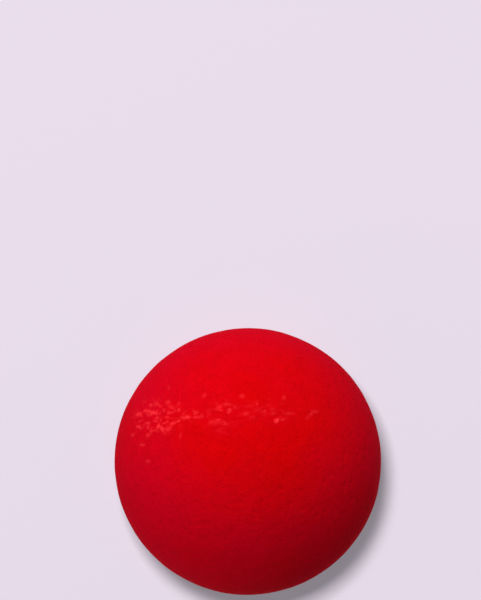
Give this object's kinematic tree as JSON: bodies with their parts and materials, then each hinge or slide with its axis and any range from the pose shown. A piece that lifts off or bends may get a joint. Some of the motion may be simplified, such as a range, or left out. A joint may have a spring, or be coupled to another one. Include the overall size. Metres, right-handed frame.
{
  "type": "foam clown nose",
  "caption": "Round soft foam nose for a clown's face, bored from behind with a domed blind bore that slips over the wearer's nose.",
  "frame": {"origin": "centre of the bore's mouth, in the plane of the flat ring that the nose rests on and that beds on the face", "axes": "+Z along the bore's axis, away from the face, towards the front of the nose; the nose is round, so X and Y are alike"},
  "size_m": [0.05, 0.05, 0.0464],
  "materials": {
    "red_foam": "matte"
  },
  "bodies": {
    "root": {"foam_ball": "red_foam"}
  },
  "joints": []
}
